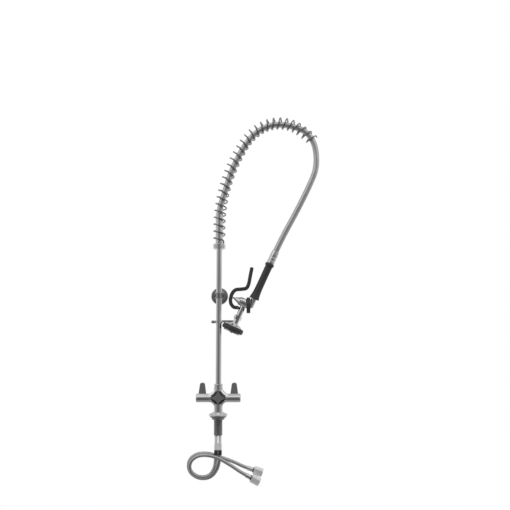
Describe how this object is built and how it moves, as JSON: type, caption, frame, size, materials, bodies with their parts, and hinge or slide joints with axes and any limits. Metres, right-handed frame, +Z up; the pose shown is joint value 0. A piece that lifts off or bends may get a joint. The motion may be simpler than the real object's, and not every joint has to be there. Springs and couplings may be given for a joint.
{
  "type": "pre rinse faucet",
  "caption": "Deck mounted pre rinse faucet: two handle mixer, tall riser with wall bracket, spring arch with hose, squeeze spray valve, finger hook and two supply tails.",
  "frame": {"origin": "on the shank's axis in the deck plane, under the base gasket", "axes": "+Z up the riser, +X towards the spray valve, +Y towards the wall, -Y is the side seen in the picture"},
  "size_m": [0.4511, 0.0875, 1.2492],
  "materials": {
    "chrome": "polished",
    "rubber": "satin",
    "black_plastic": "soft satin",
    "dark_metal": "dark plated",
    "hose_grey": "smooth satin",
    "braid_grey": "fine braid under a clear skin",
    "brass": "machined",
    "steel": "plain"
  },
  "bodies": {
    "fixture": {"mixer_body": "chrome", "base_flange": "chrome", "base_gasket": "rubber", "threaded_shank": "dark_metal", "mounting_washer": "dark_metal", "mounting_nut": "dark_metal", "hot_cartridge": "brass", "cold_cartridge": "brass", "riser_seal": "rubber", "riser_pipe": "chrome", "wall_flange": "chrome", "wall_bracket_arm": "chrome", "clamp_front": "chrome", "clamp_screws": "dark_metal", "finger_hook": "chrome", "hook_thumb_screw": "dark_metal", "spring_seat": "chrome", "tail_stems": "chrome", "tail_upper_ferrules": "chrome", "tail_sleeves": "rubber", "hot_tail_hose": "braid_grey", "cold_tail_hose": "braid_grey", "tail_end_ferrules": "chrome", "tail_spacers": "rubber", "tail_gaskets": "rubber"},
    "hot_nut": {"hot_tail_nut": "chrome"},
    "cold_nut": {"cold_tail_nut": "chrome"},
    "hot_tap": {"hot_handle": "chrome", "hot_spindle": "brass", "hot_handle_cap": "chrome", "hot_handle_screw": "steel"},
    "cold_tap": {"cold_handle": "chrome", "cold_spindle": "brass", "cold_handle_cap": "chrome", "cold_handle_screw": "steel"},
    "overhead": {"swivel_collar": "dark_metal", "swivel_seal": "rubber", "spring_body": "chrome", "overhead_spring": "chrome", "overhead_hose": "hose_grey", "hose_end_ferrule": "chrome", "swivel_stem": "chrome"},
    "spray_valve": {"grip_tube": "chrome", "grip_sleeve": "black_plastic", "grip_collar": "black_plastic", "swivel_gasket": "rubber", "valve_body": "chrome", "bonnet": "chrome", "lever_pin": "steel", "spray_nut": "chrome", "spray_shell": "chrome", "bumper": "rubber", "spray_face": "steel", "face_screw": "steel", "spray_gasket": "rubber"},
    "squeeze_lever": {"lever": "black_plastic"},
    "plunger": {"valve_stem": "steel", "seat_washer": "rubber", "valve_spring": "steel"},
    "ring": {"hold_down_ring": "black_plastic"}
  },
  "joints": [
    {"name": "hot_handle_turn", "type": "hinge", "parent": "fixture", "child": "hot_tap", "pos_m": [-0.054, 0, 0.0622], "axis": [1, 0, 0], "range_deg": [0, 90]},
    {"name": "cold_handle_turn", "type": "hinge", "parent": "fixture", "child": "cold_tap", "pos_m": [0.054, 0, 0.0622], "axis": [1, 0, 0], "range_deg": [0, 90]},
    {"name": "overhead_swing", "type": "hinge", "parent": "fixture", "child": "overhead", "pos_m": [0, 0, 0.59], "axis": [0, 0, 1], "range_deg": [-120, 0]},
    {"name": "spray_swivel", "type": "hinge", "parent": "overhead", "child": "spray_valve", "pos_m": [0.1726, 0, 0.5097], "axis": [0.4175, 0, 0.9087], "range_deg": [0, 90]},
    {"name": "lever_squeeze", "type": "hinge", "parent": "spray_valve", "child": "squeeze_lever", "pos_m": [0.0642, 0, 0.3636], "axis": [0, 1, 0], "range_deg": [0, 12], "stiffness_Nm_per_rad": 2, "springref_deg": -8.59},
    {"name": "stem_slide", "type": "slide", "parent": "spray_valve", "child": "plunger", "axis": [0.9087, 0, -0.4175], "range_m": [0, 0.007], "deforming": ["valve_spring"]},
    {"name": "ring_swing", "type": "hinge", "parent": "spray_valve", "child": "ring", "pos_m": [0.1004, 0, 0.3763], "axis": [1, 0, 0], "range_deg": [-25, 25]},
    {"name": "hot_nut_spin", "type": "hinge", "parent": "fixture", "child": "hot_nut", "pos_m": [0.12671, -0.0135, -0.20222], "axis": [0.8877, 0, -0.4605], "continuous": true},
    {"name": "cold_nut_spin", "type": "hinge", "parent": "fixture", "child": "cold_nut", "pos_m": [0.13575, 0.0135, -0.17965], "axis": [0.9487, 0, -0.3162], "continuous": true}
  ],
  "couplings": [
    {"joint": "stem_slide", "follows": "lever_squeeze", "m_per_rad": 0.029}
  ]
}
